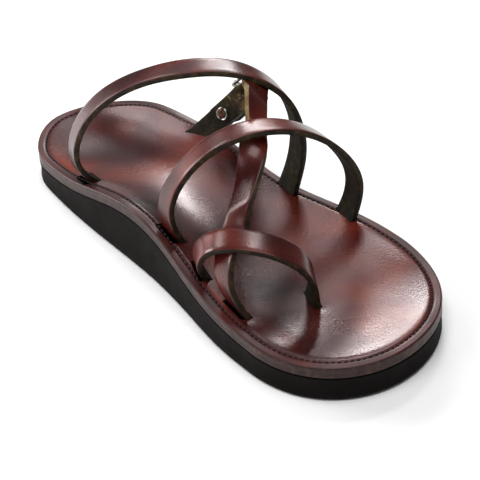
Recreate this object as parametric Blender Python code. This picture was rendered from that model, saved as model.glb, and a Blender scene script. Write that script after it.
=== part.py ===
# Leather strap sandal, left foot, metres, Z up.
# The toe points to minus Y, the heel to plus Y, the outer side of the foot to plus X.
# The sole stands flat on z = 0 and the origin is under the middle of its length.

import bmesh
import bpy
import numpy as np
from math import cos, pi, sin

# Sizes

LENGTH = 0.275            # heel tip to toe tip
WIDTH = 0.107             # across the ball of the foot
ARCH_HEIGHT = 0.0331      # top of the leather at the raised inner arch
LEATHER = 0.006           # thickness of the moulded footbed
GAP = 0.0003              # left open between one piece and the next
EDGE_ROUND = 0.0006       # rounding of the footbed's top and bottom corner
SOLE_ROUND = 0.0018       # rounding of the outsole's lower edge
TOE_SPRING = 0.0008       # lift of the outsole under the toe tip
SPRING_FROM = 0.88        # share of the length where that lift starts
RIM = 0.86                # share of the half width where the level rim ends
CUP = 1.8                 # how sharply the dish falls from the rim
SPINE_FROM = 0.15         # share of the length where the dish's lowest line starts
SPINE_TO = 0.80           # and where it ends

STRAP_WIDTH = 0.0135
STRAP_THICK = 0.003
STRAP_CHAMFER = 0.0004
CREST = 0.092             # height of the highest strap
CROSS_SINK = 0.0002       # how deep a strap is joined into the one that crosses over it
PRESS_FADE = 0.0065       # how far beside that strap it is still pressed down
SLIT_REACH = 0.0114       # how far up the strap its slit is cut
SLIT_CLEAR = 0.0005       # room on each side of a strap in its slit
ANCHOR_DROP = LEATHER + GAP + 0.0024   # how far a strap's end goes down below the footbed's top
POCKET_CLEAR = 0.0004     # room below a strap's end in its pocket

BUCKLE_STRAP_WIDTH = 0.0126
BUCKLE_STRAP_LIFT = 0.0009  # outer layer's place outside the bar's middle
FOLD_THICK = 0.0020       # thickness of the strap end folded back to the inside
FOLD_SINK = 0.0001        # how deep the two layers are pressed together
FOLD_NARROW = 0.0004      # how much narrower the inner layer is
FOLD_FROM = 0.20          # share of the buckle strap's length where the fold ends
BAR_AT = 0.56             # share of the buckle strap's guide curve where the bar lies
WIRE = 0.00105            # radius of the buckle's wire
EYE_RADIUS = 0.0029       # outside of the leather loop around the bar
FRAME_PLAY = 0.0005       # between the diagonal strap's edge and the wire
FRAME_HALF_WIDTH = STRAP_WIDTH / 2 + FRAME_PLAY + WIRE
FRAME_REACH = 0.0078      # from the middle bar to the front and rear bar
PRONG = 0.0008            # radius of the prong
NOTCH = 2 * PRONG + 4 * GAP
PRONG_HOLE = 0.0024       # from the middle bar to the hole the prong goes through
PRONG_TIP = 0.0014        # how far the prong reaches past the front bar
PRONG_LEAN = 0.0004       # forward lean where it comes out of the hole
HOLE = 0.0014             # radius of the punched holes
HOLE_PITCH = 0.0137
HOLE_PLACES = (0, 1, 2, 4)   # in pitches from the prong's hole
RIVET_AT = 0.29           # share of the guide curve where the rivet sits
RIVET_CAP = 0.0036
RIVET_SHANK = 0.0012
RIVET_HEIGHT = 0.0011

SIDE_STEPS = 46           # outline points from heel to toe, each side
STATION = 0.0042          # spacing of the strap sections

# Outline and top of the sole. Share of the length from the heel, half width inside and outside
# as shares of WIDTH, edge height inside and outside and depth of the dish as shares of ARCH_HEIGHT
SOLE = np.array([
    # along, inside, outside, inner_z, outer_z, dish
    [0.00, 0.2551, 0.3150, 0.562, 0.562, 0.109],
    [0.12, 0.3131, 0.3523, 0.568, 0.770, 0.139],
    [0.25, 0.3505, 0.3701, 0.734, 0.867, 0.157],
    [0.38, 0.3654, 0.3822, 1.000, 0.831, 0.169],
    [0.50, 0.3822, 0.4000, 0.988, 0.692, 0.151],
    [0.62, 0.4252, 0.4720, 0.737, 0.619, 0.109],
    [0.72, 0.4626, 0.5206, 0.637, 0.580, 0.085],
    [0.84, 0.4673, 0.5402, 0.583, 0.508, 0.079],
    [1.00, 0.4804, 0.5551, 0.589, 0.589, 0.073],
])
# Share of the length taken by the round end: heel inside and outside, toe inside and outside
ROUND_END = (0.114, 0.164, 0.191, 0.237)
TOE_SHIFT = -0.0383       # sideways place of the toe tip, share of WIDTH

# Straps, a row per point of the centre line. Share of LENGTH from the heel, share of WIDTH from
# the middle to the outside, share of CREST up, then the direction across the strap
STRAP_TABLES = {
    "rear": [
        # along, across, up, then the direction across the strap in x, y, z
        [0.2523, -0.2583, 0.2437, 0.10, 0.99, -0.13],
        [0.2483, -0.3014, 0.3025, 0.15, 0.99, -0.07],
        [0.2445, -0.3372, 0.4235, 0.34, 0.94, -0.00],
        [0.2511, -0.3006, 0.6093, 0.48, 0.88, 0.01],
        [0.2807, -0.1986, 0.7820, 0.61, 0.79, 0.07],
        [0.3335, -0.0659, 0.9098, 0.74, 0.67, 0.05],
        [0.4001, 0.0771, 0.9864, 0.75, 0.66, 0.06],
        [0.4667, 0.2347, 0.9822, 0.69, 0.72, -0.10],
        [0.5151, 0.3674, 0.8462, 0.42, 0.88, -0.20],
        [0.5334, 0.4207, 0.6337, 0.28, 0.96, -0.07],
        [0.5340, 0.4142, 0.4456, 0.21, 0.98, 0.03],
        [0.5295, 0.3878, 0.3168, 0.19, 0.98, 0.08],
        [0.5260, 0.3689, 0.2441, 0.12, 0.99, 0.11],
    ],
    "front": [
        # along, across, up, then the direction across the strap in x, y, z
        [0.5234, -0.2965, 0.2936, 0.10, 0.99, -0.07],
        [0.5209, -0.3199, 0.3684, 0.12, 0.99, -0.04],
        [0.5208, -0.3291, 0.5058, 0.26, 0.96, 0.03],
        [0.5327, -0.2547, 0.6859, 0.42, 0.90, -0.05],
        [0.5583, -0.0977, 0.8312, 0.43, 0.90, -0.06],
        [0.5923, 0.1001, 0.8695, 0.40, 0.91, -0.08],
        [0.6249, 0.2882, 0.7870, 0.31, 0.94, -0.16],
        [0.6477, 0.4253, 0.6156, 0.19, 0.97, -0.13],
        [0.6571, 0.4840, 0.4297, 0.19, 0.98, -0.03],
        [0.6558, 0.4678, 0.2928, 0.23, 0.97, 0.01],
        [0.6530, 0.4430, 0.2185, 0.17, 0.98, 0.05],
    ],
    "toe": [
        # along, across, up, then the direction across the strap in x, y, z
        [0.6200, -0.3380, 0.2316, 0.25, 0.96, 0.08],
        [0.6200, -0.3537, 0.2819, 0.36, 0.92, 0.15],
        [0.6250, -0.3701, 0.3741, 0.53, 0.80, 0.29],
        [0.6496, -0.3464, 0.4777, 0.74, 0.61, 0.27],
        [0.6925, -0.2728, 0.5206, 0.79, 0.60, 0.17],
        [0.7348, -0.1840, 0.4996, 0.76, 0.63, 0.11],
        [0.7683, -0.1023, 0.4228, 0.72, 0.69, 0.03],
        [0.7832, -0.0633, 0.3086, 0.58, 0.81, -0.08],
        [0.7863, -0.0668, 0.2133, 0.40, 0.91, -0.09],
        [0.7867, -0.0747, 0.1605, 0.24, 0.97, -0.06],
    ],
    "diagonal": [
        # along, across, up, then the direction across the strap in x, y, z
        [0.3231, 0.4274, 0.4050, -0.02, -0.80, -0.60],
        [0.3465, 0.4636, 0.4965, 0.01, -0.77, -0.64],
        [0.3728, 0.4803, 0.5910, 0.05, -0.74, -0.67],
        [0.3999, 0.4479, 0.6786, 0.07, -0.74, -0.67],
        [0.4241, 0.4003, 0.7532, 0.09, -0.75, -0.65],
        [0.4548, 0.3537, 0.8544, 0.57, -0.76, -0.32],
        [0.4858, 0.2899, 0.9132, 0.65, -0.65, -0.40],
        [0.5155, 0.2288, 0.9198, 0.57, -0.40, -0.71],
        [0.5537, 0.1463, 0.8922, 0.63, -0.27, -0.73],
        [0.5828, 0.0734, 0.8396, 0.73, -0.25, -0.64],
        [0.6102, -0.0091, 0.7557, 0.56, -0.83, 0.07],
        [0.6298, -0.0836, 0.6745, 0.26, -0.91, 0.31],
        [0.6492, -0.1768, 0.5857, 0.16, -0.90, 0.39],
        [0.6664, -0.2613, 0.5155, 0.18, -0.88, 0.44],
        [0.6898, -0.3524, 0.4244, 0.09, -0.84, 0.54],
        [0.7128, -0.3936, 0.3254, -0.18, -0.82, 0.54],
        [0.7384, -0.3671, 0.1976, -0.34, -0.86, 0.37],
    ],
    "buckle": [
        # along, across, up, then the direction across the strap in x, y, z
        [0.2992, 0.3182, 0.3103, -0.08, -0.83, -0.55],
        [0.3232, 0.3775, 0.4075, -0.03, -0.80, -0.59],
        [0.3504, 0.4191, 0.5093, 0.01, -0.77, -0.64],
        [0.3808, 0.4317, 0.6137, 0.05, -0.74, -0.67],
        [0.4121, 0.4126, 0.7143, 0.09, -0.74, -0.66],
        [0.4417, 0.3702, 0.8090, 0.10, -0.76, -0.65],
    ],
}


# Splines

def spline(xs, ys):
    """Natural cubic spline through the rows."""
    n = len(xs)
    h = np.diff(xs)
    a = np.eye(n)
    b = np.zeros(ys.shape)
    for i in range(1, n - 1):
        a[i, i - 1:i + 2] = h[i - 1], 2 * (h[i - 1] + h[i]), h[i]
        b[i] = 6 * ((ys[i + 1] - ys[i]) / h[i] - (ys[i] - ys[i - 1]) / h[i - 1])
    m = np.linalg.solve(a, b)

    def at(x):
        i = int(np.clip(np.searchsorted(xs, x, side="right") - 1, 0, n - 2))
        t = x - xs[i]
        slope = (ys[i + 1] - ys[i]) / h[i] - h[i] * (2 * m[i] + m[i + 1]) / 6
        return ys[i] + t * (slope + t * (m[i] / 2 + t * (m[i + 1] - m[i]) / (6 * h[i])))

    return at


def unit(v):
    return v / np.linalg.norm(v)


# The sole's surface

sole_row = spline(SOLE[:, 0], SOLE[:, 1:])


def round_end(s, share):
    t = min(max(s / share, 0.0), 1.0)
    return max(1 - (1 - t) ** 2, 0.0) ** 0.5


def edge_point(s, side):
    """Point on the top edge of the leather, side -1 inside and +1 outside."""
    inside, outside, inner_z, outer_z, dish = sole_row(s)
    heel_in, heel_out, toe_in, toe_out = ROUND_END
    if side < 0:
        half = inside * round_end(s, heel_in) * round_end(1 - s, toe_in)
        z = inner_z
    else:
        half = outside * round_end(s, heel_out) * round_end(1 - s, toe_out)
        z = outer_z
    x = (TOE_SHIFT * s ** 3 + side * half) * WIDTH
    return np.array([x, (0.5 - s) * LENGTH, z * ARCH_HEIGHT])


def spine_point(s):
    """Lowest line of the dish, from the heel cup to the toes."""
    s = min(max(s, SPINE_FROM), SPINE_TO)
    inside, outside, inner_z, outer_z, dish = sole_row(s)
    x = (TOE_SHIFT * s ** 3 + (outside - inside) / 2) * WIDTH
    return np.array([x, (0.5 - s) * LENGTH, ((inner_z + outer_z) / 2 - dish) * ARCH_HEIGHT])


def top_point(s, side, r):
    """Point of the leather's top, r = 0 on the spine and 1 at the edge."""
    edge = edge_point(s, side)
    spine = spine_point(s)
    p = spine + (edge - spine) * r
    p[2] = spine[2] + (edge[2] - spine[2]) * min(r / RIM, 1.0) ** CUP
    return p


def outline():
    """The (s, side) pairs once around the sole."""
    share = [(1 - cos(pi * i / SIDE_STEPS)) / 2 for i in range(SIDE_STEPS + 1)]
    return [(s, -1) for s in share] + [(s, 1) for s in share[-2:0:-1]]


def inset(s, side, distance):
    """Value of r that lies the distance inside the edge."""
    reach = np.linalg.norm((edge_point(s, side) - spine_point(s))[:2])
    return 1 - distance / reach


def spring(s):
    t = max(s - SPRING_FROM, 0.0) / (1 - SPRING_FROM)
    return TOE_SPRING * t * t


# Building solids

def new_object(name, mesh, collection):
    obj = bpy.data.objects.new(name, mesh)
    collection.objects.link(obj)
    return obj


def split_quad(points, corners):
    """Two triangles along the shorter diagonal, so that facing surfaces split alike."""
    a, b, c, d = corners
    first = np.linalg.norm(np.subtract(points[a], points[c]))
    second = np.linalg.norm(np.subtract(points[b], points[d]))
    if first <= second:
        return [[a, b, c], [a, c, d]]
    return [[a, b, d], [b, c, d]]


def solid_from_rings(name, rings, collection):
    """Skin rings of equal length into one closed body. Points that coincide are shared, so that
    a ring may shrink to a line or to one point."""
    index = {}
    points = []
    numbered = []
    for ring in rings:
        row = []
        for p in ring:
            key = tuple(round(float(c), 7) for c in p)
            if key not in index:
                index[key] = len(points)
                points.append(key)
            row.append(index[key])
        numbered.append(row)
    faces = []
    for low, high in zip(numbered, numbered[1:]):
        for i in range(len(low)):
            j = (i + 1) % len(low)
            corners = []
            for v in (low[i], low[j], high[j], high[i]):
                if v not in corners:
                    corners.append(v)
            if len(corners) == 4:
                faces += split_quad(points, corners)
            elif len(corners) == 3:
                faces.append(corners)
    for row, flip in ((numbered[0], True), (numbered[-1], False)):
        if len(set(row)) == len(row):
            faces.append(row[::-1] if flip else row)
    mesh = bpy.data.meshes.new(name)
    mesh.from_pydata(points, [], faces)
    work = bmesh.new()
    work.from_mesh(mesh)
    bmesh.ops.recalc_face_normals(work, faces=work.faces)
    work.to_mesh(mesh)
    work.free()
    return new_object(name, mesh, collection)


def boolean(target, tool, operation):
    mod = target.modifiers.new(tool.name, "BOOLEAN")
    mod.operation = operation
    mod.solver = "EXACT"
    mod.object = tool


def apply_modifiers(obj):
    graph = bpy.context.evaluated_depsgraph_get()
    graph.update()
    mesh = bpy.data.meshes.new_from_object(obj.evaluated_get(graph))
    obj.modifiers.clear()
    obj.data = mesh


def tube(name, path, radius, collection, closed=False):
    """A round wire along the path, with closed ends."""
    data = bpy.data.curves.new(name, "CURVE")
    data.dimensions = "3D"
    data.bevel_depth = radius
    data.bevel_resolution = 2
    data.use_fill_caps = not closed
    line = data.splines.new("POLY")
    line.points.add(len(path) - 1)
    for point, p in zip(line.points, path):
        point.co = (p[0], p[1], p[2], 1.0)
    line.use_cyclic_u = closed
    obj = new_object(name, data, collection)
    graph = bpy.context.evaluated_depsgraph_get()
    graph.update()
    mesh = bpy.data.meshes.new_from_object(obj.evaluated_get(graph))
    bpy.data.objects.remove(obj)
    return new_object(name, mesh, collection)


def turned(name, profile, centre, axis, collection, steps=24):
    """A body of revolution; profile rows are height along the axis and radius."""
    axis = unit(axis)
    first = unit(np.cross(axis, [0.0, 0.0, 1.0]))
    second = np.cross(axis, first)
    rings = []
    for height, radius in profile:
        ring = []
        for i in range(steps):
            a = 2 * pi * i / steps
            ring.append(centre + axis * height + radius * (first * cos(a) + second * sin(a)))
        rings.append(ring)
    return solid_from_rings(name, rings, collection)


# Straps

def strap_guide(rows):
    """Centre line and across direction of a strap, both as functions of the distance run."""
    rows = np.array(rows)
    centre = np.stack([rows[:, 1] * WIDTH, (0.5 - rows[:, 0]) * LENGTH, rows[:, 2] * CREST], 1)
    run = np.concatenate([[0.0], np.cumsum(np.linalg.norm(np.diff(centre, axis=0), axis=1))])
    return spline(run, centre), spline(run, rows[:, 3:6]), run[-1]


def strap_frame(guide, at):
    """Centre, forward, across and outward at a distance along the guide. Beyond an anchored end
    the strap runs on straight."""
    line, across, length = guide
    inner = min(max(at, 0.0), length)
    step = 0.0004
    low, high = max(inner - step, 0.0), min(inner + step, length)
    forward = unit(line(high) - line(low))
    centre = line(inner) + forward * (at - inner)
    side = across(inner)
    side = unit(side - forward * np.dot(side, forward))
    return centre, forward, side, np.cross(forward, side)


def drop_length(guide, at, direction):
    """How far the strap must run on to go down by ANCHOR_DROP."""
    centre, forward, side, out = strap_frame(guide, at)
    return ANCHOR_DROP / abs(forward[2] * direction)


def section(frame, width, thick, chamfer, lift=0.0, press=None):
    """Eight corners of a strap; press gives the shift of a point on its outer face."""
    centre, forward, side, out = frame
    w, t, c = width / 2, thick / 2, chamfer
    corners = ((-w, -t + c), (-w, t - c), (-w + c, t), (w - c, t),
               (w, t - c), (w, -t + c), (w - c, -t), (-w + c, -t))
    points = []
    for u, v in corners:
        point = centre + side * u + out * (v + lift)
        if press:
            point = point + press(centre + side * u + out * (t + lift))
        points.append(point)
    return points


def press_under(over):
    """Shift that makes a strap pass beneath the straps over it and touch them flat."""
    frames = []
    for guide in over:
        frames += [strap_frame(guide, guide[2] * i / 150) for i in range(151)]
    centres = np.array([frame[0] for frame in frames])

    def press(point):
        nearest = int(np.argmin(np.linalg.norm(centres - point, axis=1)))
        centre, forward, side, out = frames[nearest]
        away = point - centre
        past = max(abs(np.dot(away, side)) - STRAP_WIDTH / 2, 0.0)
        excess = np.dot(away, out) + STRAP_THICK / 2 - CROSS_SINK
        share = 1 - past / PRESS_FADE
        if excess <= 0 or share <= 0:
            return np.zeros(3)
        return -out * excess * share * share * (3 - 2 * share)

    return press


def ribbon(name, guide, start, end, width, thick, collection, lift=0.0, press=None):
    steps = max(int(round((end - start) / STATION)), 2)
    rings = []
    for i in range(steps + 1):
        frame = strap_frame(guide, start + (end - start) * i / steps)
        rings.append(section(frame, width, thick, STRAP_CHAMFER, lift, press))
    return solid_from_rings(name, rings, collection)


# Scene set-up

for old in list(bpy.data.objects):
    bpy.data.objects.remove(old, do_unlink=True)

pieces = bpy.data.collections.new("sandal")
cutters = bpy.data.collections.new("cutters")
bpy.context.scene.collection.children.link(pieces)
bpy.context.scene.collection.children.link(cutters)

# Footbed

TOP_RINGS = (RIM + 0.05, RIM, 0.74, 0.58, 0.38, 0.18, 0.0)
UNDER_RINGS = (RIM, 0.62, 0.34, 0.0)
around = outline()


def ring_at(depth, r=None, distance=0.0):
    """Ring of points on the leather's top surface lowered by depth."""
    ring = []
    for s, side in around:
        share = inset(s, side, distance) if r is None else r
        ring.append(top_point(s, side, share) - np.array([0.0, 0.0, depth]))
    return ring


rings = [ring_at(0.0, r) for r in TOP_RINGS[::-1]]
rings.append(ring_at(0.0, distance=EDGE_ROUND))
rings.append(ring_at(EDGE_ROUND, 1.0))
rings.append(ring_at(LEATHER - EDGE_ROUND, 1.0))
rings.append(ring_at(LEATHER, distance=EDGE_ROUND))
rings += [ring_at(LEATHER, r) for r in UNDER_RINGS]
footbed = solid_from_rings("footbed", rings, pieces)

# Outsole

rings = [ring_at(LEATHER + GAP, r) for r in UNDER_RINGS[::-1]]
rings.append(ring_at(LEATHER + GAP, distance=EDGE_ROUND))
rings.append(ring_at(LEATHER + GAP + EDGE_ROUND, 1.0))
for height, distance in ((SOLE_ROUND, 0.0), (SOLE_ROUND * 0.3, SOLE_ROUND * 0.3), (0.0, SOLE_ROUND)):
    ring = ring_at(0.0, distance=distance)
    for p, (s, side) in zip(ring, around):
        p[2] = height + spring(s)
    rings.append(ring)
ring = ring_at(0.0, 0.5)
for p, (s, side) in zip(ring, around):
    p[2] = spring(s)
rings.append(ring)
ring = ring_at(0.0, 0.0)
for p, (s, side) in zip(ring, around):
    p[2] = 0.0
rings.append(ring)
outsole = solid_from_rings("outsole", rings, pieces)

# Upper: four straps joined where they cross

guides = {name: strap_guide(rows) for name, rows in STRAP_TABLES.items()}
ends = {}
for name, guide in guides.items():
    length = guide[2]
    start = -drop_length(guide, 0.0, -1)
    end = length + drop_length(guide, length, 1)
    if name == "diagonal":
        start = 0.0
    if name == "buckle":
        end = length * BAR_AT
    ends[name] = (start, end)


def anchor_cutters(name, width, thick, lift=0.0):
    """Slit and pocket cutters at the anchored ends of a strap."""
    start, end = ends[name]
    guide = guides[name]
    spans = []
    if start < 0:
        spans.append((start - POCKET_CLEAR, SLIT_REACH))
    if end > guide[2]:
        spans.append((guide[2] - SLIT_REACH, end + POCKET_CLEAR))
    made = []
    for low, high in spans:
        cutter = ribbon("slit_%s_%d" % (name, len(made)), guide, low, high,
                        width + 2 * SLIT_CLEAR, thick + 2 * SLIT_CLEAR, cutters, lift)
        cutter.display_type = "WIRE"
        cutter.hide_render = True
        made.append(cutter)
    return made


slits = []
straps = {}
for name in ("rear", "front", "toe", "diagonal"):
    start, end = ends[name]
    press = None
    if name == "diagonal":
        press = press_under([guides["rear"], guides["front"], guides["toe"]])
    straps[name] = ribbon("strap_" + name, guides[name], start, end,
                          STRAP_WIDTH, STRAP_THICK, pieces, press=press)
    slits += anchor_cutters(name, STRAP_WIDTH, STRAP_THICK)

upper = straps["diagonal"]
upper.name = "upper"
for name in ("rear", "front", "toe"):
    boolean(upper, straps[name], "UNION")

# Buckle strap, folded over the middle bar of the buckle

buckle_guide = guides["buckle"]
buckle_length = buckle_guide[2]
bar_run = buckle_length * BAR_AT
main_lift = BUCKLE_STRAP_LIFT
fold_lift = main_lift - STRAP_THICK / 2 - FOLD_THICK / 2 + FOLD_SINK
start, end = ends["buckle"]
buckle_strap = ribbon("buckle_strap", buckle_guide, start, end,
                      BUCKLE_STRAP_WIDTH, STRAP_THICK, pieces, main_lift)
fold = ribbon("fold", buckle_guide, buckle_length * FOLD_FROM, end,
              BUCKLE_STRAP_WIDTH - FOLD_NARROW, FOLD_THICK, cutters, fold_lift)
slits += anchor_cutters("buckle", BUCKLE_STRAP_WIDTH, STRAP_THICK, main_lift)

bar_centre, bar_forward, bar_side, bar_out = strap_frame(buckle_guide, bar_run)
half = BUCKLE_STRAP_WIDTH / 2
eye = turned("eye", ((-half, EYE_RADIUS), (half, EYE_RADIUS)), bar_centre, bar_side, cutters)
bore = turned("bore", ((-2 * half, WIRE + GAP), (2 * half, WIRE + GAP)),
              bar_centre, bar_side, cutters)
boolean(buckle_strap, fold, "UNION")
boolean(buckle_strap, eye, "UNION")
boolean(buckle_strap, bore, "DIFFERENCE")

# Notch in the loop for the prong, open to the top and the outside
notch_frame = (bar_centre + bar_forward * EYE_RADIUS, bar_forward, bar_side, bar_out)
back_frame = (bar_centre - bar_forward * (EYE_RADIUS + GAP), bar_forward, bar_side, bar_out)
notch = solid_from_rings("notch", [
    section(back_frame, NOTCH, 4 * EYE_RADIUS, STRAP_CHAMFER, EYE_RADIUS * 0.9),
    section(notch_frame, NOTCH, 4 * EYE_RADIUS, STRAP_CHAMFER, EYE_RADIUS * 0.9)], cutters)
boolean(buckle_strap, notch, "DIFFERENCE")

# Rivet through both layers
rivet_centre, rivet_forward, rivet_side, rivet_out = strap_frame(
    buckle_guide, buckle_length * RIVET_AT)
inner_face = fold_lift - FOLD_THICK / 2
outer_face = main_lift + STRAP_THICK / 2
hole = turned("rivet_hole", ((inner_face * 2, RIVET_SHANK + GAP), (outer_face * 2, RIVET_SHANK + GAP)),
              rivet_centre, rivet_out, cutters)
boolean(buckle_strap, hole, "DIFFERENCE")
low = inner_face - GAP
high = outer_face + GAP
rivet = turned("rivet", (
    (low - RIVET_HEIGHT, RIVET_CAP * 0.45),
    (low - RIVET_HEIGHT * 0.8, RIVET_CAP * 0.78),
    (low - RIVET_HEIGHT * 0.4, RIVET_CAP),
    (low, RIVET_CAP * 0.97),
    (low, RIVET_SHANK),
    (high, RIVET_SHANK),
    (high, RIVET_CAP * 0.8),
    (high + RIVET_HEIGHT * 0.35, RIVET_CAP * 0.74)), rivet_centre, rivet_out, pieces)

# Buckle frame: front bar over the diagonal strap, rear bar over its tail, middle bar inside it

diagonal = guides["diagonal"]


def nearest_run(guide, point):
    runs = np.linspace(0.0, guide[2], 400)
    return min(runs, key=lambda run: np.linalg.norm(guide[0](run) - point))


over_bar = nearest_run(diagonal, bar_centre)
bar_lift = STRAP_THICK / 2 + GAP + WIRE
rear_frame = strap_frame(diagonal, over_bar - FRAME_REACH)
front_frame = strap_frame(diagonal, over_bar + FRAME_REACH)
rear_bar = rear_frame[0] + rear_frame[3] * bar_lift
front_bar = front_frame[0] + front_frame[3] * bar_lift


def leg(sign, steps=10):
    """Side of the frame from the rear bar past the middle bar to the front bar."""
    a = rear_bar + rear_frame[2] * sign * FRAME_HALF_WIDTH
    b = bar_centre + bar_side * sign * FRAME_HALF_WIDTH
    c = front_bar + front_frame[2] * sign * FRAME_HALF_WIDTH
    bend = 2 * b - (a + c) / 2
    return [a * (1 - t) ** 2 + 2 * bend * t * (1 - t) + c * t * t
            for t in (i / steps for i in range(steps + 1))]


def softened(points, share=0.25):
    """Cut each corner of a closed path twice."""
    for _ in range(2):
        cut = []
        for p, q in zip(points, points[1:] + points[:1]):
            cut.append(p + (q - p) * share)
            cut.append(q - (q - p) * share)
        points = cut
    return points


def bar_ends(frame, centre, sign):
    """Two points of a bar next to its corners."""
    reach = FRAME_HALF_WIDTH - WIRE
    return [centre - frame[2] * sign * reach, centre + frame[2] * sign * reach]


loop = leg(-1) + bar_ends(front_frame, front_bar, 1)
loop += leg(1)[::-1] + bar_ends(rear_frame, rear_bar, -1)
buckle_frame = tube("buckle_frame", softened(loop), WIRE, pieces, closed=True)
middle = tube("middle_bar", [bar_centre - bar_side * FRAME_HALF_WIDTH,
                             bar_centre + bar_side * FRAME_HALF_WIDTH], WIRE * 0.9, cutters)
boolean(buckle_frame, middle, "UNION")

# Prong: a hook around the middle bar, then out through a hole in the diagonal strap

hook = WIRE + GAP + PRONG
path = []
for i in range(11):
    a = pi * (0.82 + 1.28 * i / 10)
    path.append(bar_centre + hook * (bar_forward * cos(a) + bar_out * sin(a)))
hole_run = over_bar + PRONG_HOLE
hole_frame = strap_frame(diagonal, hole_run)
above = STRAP_THICK / 2 + PRONG + GAP
path.append(hole_frame[0] - hole_frame[3] * STRAP_THICK / 2)
path.append(hole_frame[0] + hole_frame[3] * (above + GAP) + hole_frame[1] * PRONG_LEAN)
rest = front_bar + front_frame[3] * (WIRE + GAP + PRONG)
path.append(rest - front_frame[1] * (WIRE + GAP / 2))
path.append(rest + front_frame[1] * PRONG_TIP)
buckle_prong = tube("buckle_prong", path, PRONG, pieces)

# Punched holes in the diagonal strap
for i in HOLE_PLACES:
    centre, forward, side, out = strap_frame(diagonal, hole_run + i * HOLE_PITCH)
    punch = turned("punch_%d" % i, ((-STRAP_THICK, HOLE), (STRAP_THICK, HOLE)),
                   centre, out, cutters, steps=16)
    boolean(upper, punch, "DIFFERENCE")

# Slits through the footbed and pockets in the outsole
for cutter in slits:
    boolean(footbed, cutter, "DIFFERENCE")
    boolean(outsole, cutter, "DIFFERENCE")

for obj in (footbed, outsole, upper, buckle_strap, buckle_frame):
    apply_modifiers(obj)
for name in ("rear", "front", "toe"):
    bpy.data.objects.remove(straps[name])
for cutter in list(cutters.objects):
    cutter.hide_render = True
    cutter.display_type = "WIRE"

# Materials

FINISH = {
    # name: colour, metallic, roughness
    "footbed": ((0.060, 0.016, 0.014), 0.0, 0.30),
    "outsole": ((0.012, 0.010, 0.009), 0.0, 0.75),
    "upper": ((0.055, 0.013, 0.012), 0.0, 0.32),
    "buckle_strap": ((0.030, 0.018, 0.012), 0.0, 0.60),
    "buckle_frame": ((0.55, 0.54, 0.52), 1.0, 0.25),
    "buckle_prong": ((0.55, 0.54, 0.52), 1.0, 0.28),
    "rivet": ((0.20, 0.12, 0.09), 1.0, 0.35),
}
for name, (colour, metallic, roughness) in FINISH.items():
    material = bpy.data.materials.new(name)
    material.use_nodes = True
    shader = material.node_tree.nodes["Principled BSDF"]
    shader.inputs["Base Color"].default_value = (*colour, 1.0)
    shader.inputs["Metallic"].default_value = metallic
    shader.inputs["Roughness"].default_value = roughness
    mesh = bpy.data.objects[name].data
    mesh.materials.clear()
    mesh.materials.append(material)
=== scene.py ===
# Leather strap sandal, left foot: the looks. Metres, Z up, toe towards minus Y.

from math import cos, exp, pi, radians, sin

import bmesh
import bpy
import numpy as np
from mathutils import Matrix, Vector


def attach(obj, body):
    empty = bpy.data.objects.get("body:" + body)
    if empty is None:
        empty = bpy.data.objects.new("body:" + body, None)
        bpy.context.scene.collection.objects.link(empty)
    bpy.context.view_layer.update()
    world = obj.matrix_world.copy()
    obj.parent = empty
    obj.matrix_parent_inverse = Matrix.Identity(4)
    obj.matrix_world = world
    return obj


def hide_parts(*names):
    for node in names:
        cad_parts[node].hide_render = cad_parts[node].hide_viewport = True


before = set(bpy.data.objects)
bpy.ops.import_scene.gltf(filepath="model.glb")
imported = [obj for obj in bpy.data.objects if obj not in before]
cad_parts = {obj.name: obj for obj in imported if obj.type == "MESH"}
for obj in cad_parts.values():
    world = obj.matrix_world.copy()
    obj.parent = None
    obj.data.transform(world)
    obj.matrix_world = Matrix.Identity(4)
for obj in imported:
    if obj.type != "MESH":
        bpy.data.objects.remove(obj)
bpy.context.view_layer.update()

# Sizes, the same as in the part's source but for PRESS_FADE, which is longer here

LENGTH = 0.275
WIDTH = 0.107
ARCH_HEIGHT = 0.0331
LEATHER = 0.006
GAP = 0.0003
EDGE_ROUND = 0.0006
SOLE_ROUND = 0.0018
TOE_SPRING = 0.0008
SPRING_FROM = 0.88
RIM = 0.86
CUP = 1.8
SPINE_FROM = 0.15
SPINE_TO = 0.80
STRAP_WIDTH = 0.0135
STRAP_THICK = 0.003
CREST = 0.092
CROSS_SINK = 0.0002
PRESS_FADE = 0.011
SLIT_REACH = 0.0114
SLIT_CLEAR = 0.0005
ANCHOR_DROP = LEATHER + GAP + 0.0024
BUCKLE_STRAP_WIDTH = 0.0126
BUCKLE_STRAP_LIFT = 0.0009
FOLD_THICK = 0.0020
FOLD_NARROW = 0.0004
FOLD_FROM = 0.20
BAR_AT = 0.56
WIRE = 0.00105
EYE_RADIUS = 0.0029
FRAME_PLAY = 0.0005
FRAME_HALF_WIDTH = STRAP_WIDTH / 2 + FRAME_PLAY + WIRE
FRAME_REACH = 0.0078
PRONG = 0.0008
PRONG_HOLE = 0.0024
PRONG_TIP = 0.0014
PRONG_LEAN = 0.0004
HOLE = 0.0014
HOLE_PITCH = 0.0137
HOLE_PLACES = (0, 1, 2, 4)
RIVET_AT = 0.29
RIVET_CAP = 0.0036
RIVET_SHANK = 0.0012
RIVET_HEIGHT = 0.0011

# Sizes of the finer detail

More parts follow.
